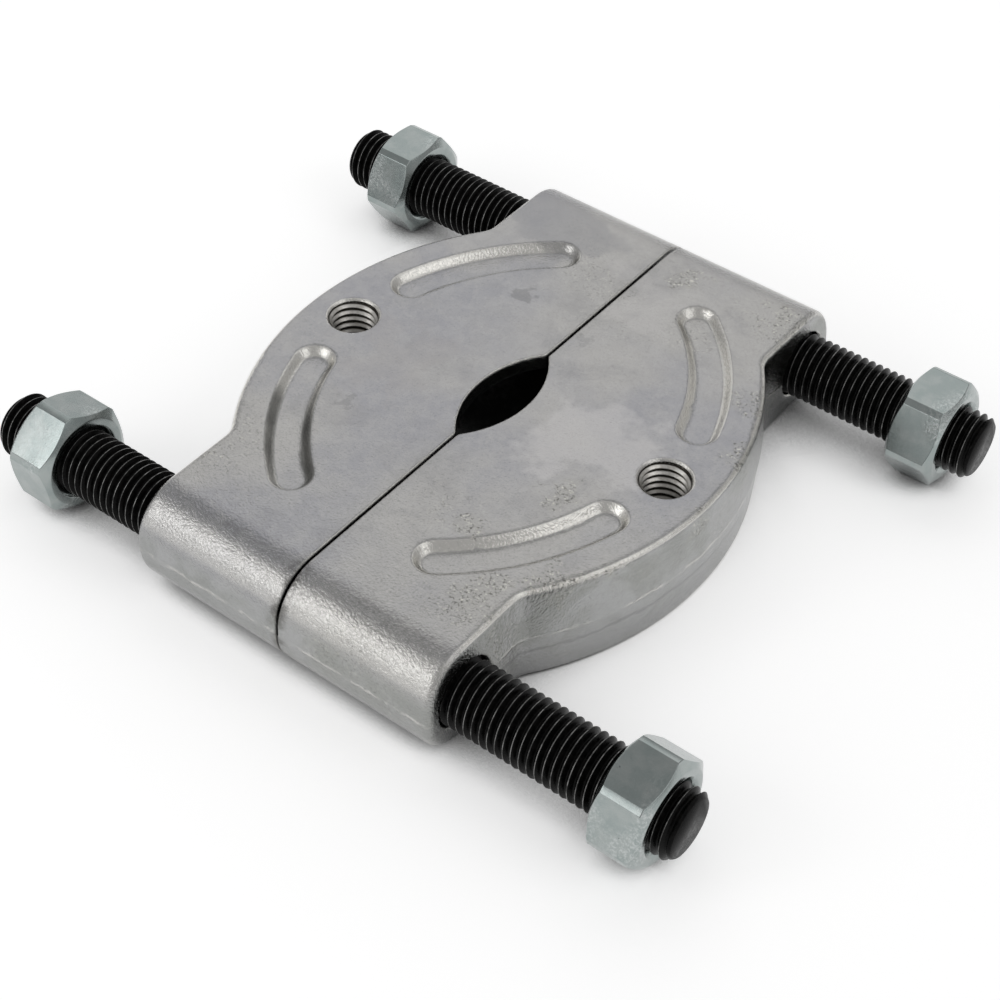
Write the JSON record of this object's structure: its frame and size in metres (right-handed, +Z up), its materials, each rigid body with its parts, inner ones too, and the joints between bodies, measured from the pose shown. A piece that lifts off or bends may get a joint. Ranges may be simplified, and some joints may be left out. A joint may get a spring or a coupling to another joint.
{
  "type": "bearing separator",
  "caption": "Split clamping plate with a wedge-edged jaw opening, drawn together on threaded studs by hex nuts, with threaded holes for a puller.",
  "frame": {"origin": "on the floor, at the split between the halves and midway between the studs", "axes": "+X along the studs towards the right half, +Y along the split towards the rear stud, +Z up out of the pocketed top faces"},
  "size_m": [0.1947, 0.1586, 0.027],
  "materials": {
    "forged_steel": "shot-blasted forging, satin grey",
    "black_stud": "black oxide, slightly oily",
    "zinc_nut": "zinc plated, fine spangle"
  },
  "bodies": {
    "left_half": {"left_half": "forged_steel"},
    "right_half": {"right_half": "forged_steel"},
    "front_stud": {"front_stud": "black_stud"},
    "rear_stud": {"rear_stud": "black_stud"},
    "nut_front_left": {"nut_front_left": "zinc_nut"},
    "nut_front_right": {"nut_front_right": "zinc_nut"},
    "nut_rear_left": {"nut_rear_left": "zinc_nut"},
    "nut_rear_right": {"nut_rear_right": "zinc_nut"}
  },
  "joints": [
    {"name": "half_slide", "type": "slide", "parent": "left_half", "child": "right_half", "axis": [1, 0, 0], "range_m": [-0.0006, 0.0294]},
    {"name": "front_stud_turn", "type": "hinge", "parent": "left_half", "child": "front_stud", "pos_m": [0, -0.066, 0.0135], "axis": [1, 0, 0], "continuous": true},
    {"name": "rear_stud_turn", "type": "hinge", "parent": "left_half", "child": "rear_stud", "pos_m": [0, 0.066, 0.0135], "axis": [1, 0, 0], "continuous": true},
    {"name": "nut_front_left_travel", "type": "slide", "parent": "front_stud", "child": "nut_front_left", "axis": [-1, 0, 0], "range_m": [-0.028, 0.009]},
    {"name": "nut_front_right_travel", "type": "slide", "parent": "front_stud", "child": "nut_front_right", "axis": [1, 0, 0], "range_m": [-0.0385, 0.0043]},
    {"name": "nut_rear_left_travel", "type": "slide", "parent": "rear_stud", "child": "nut_rear_left", "axis": [-1, 0, 0], "range_m": [-0.0333, 0.0104]},
    {"name": "nut_rear_right_travel", "type": "slide", "parent": "rear_stud", "child": "nut_rear_right", "axis": [1, 0, 0], "range_m": [-0.0294, 0.0067]}
  ]
}
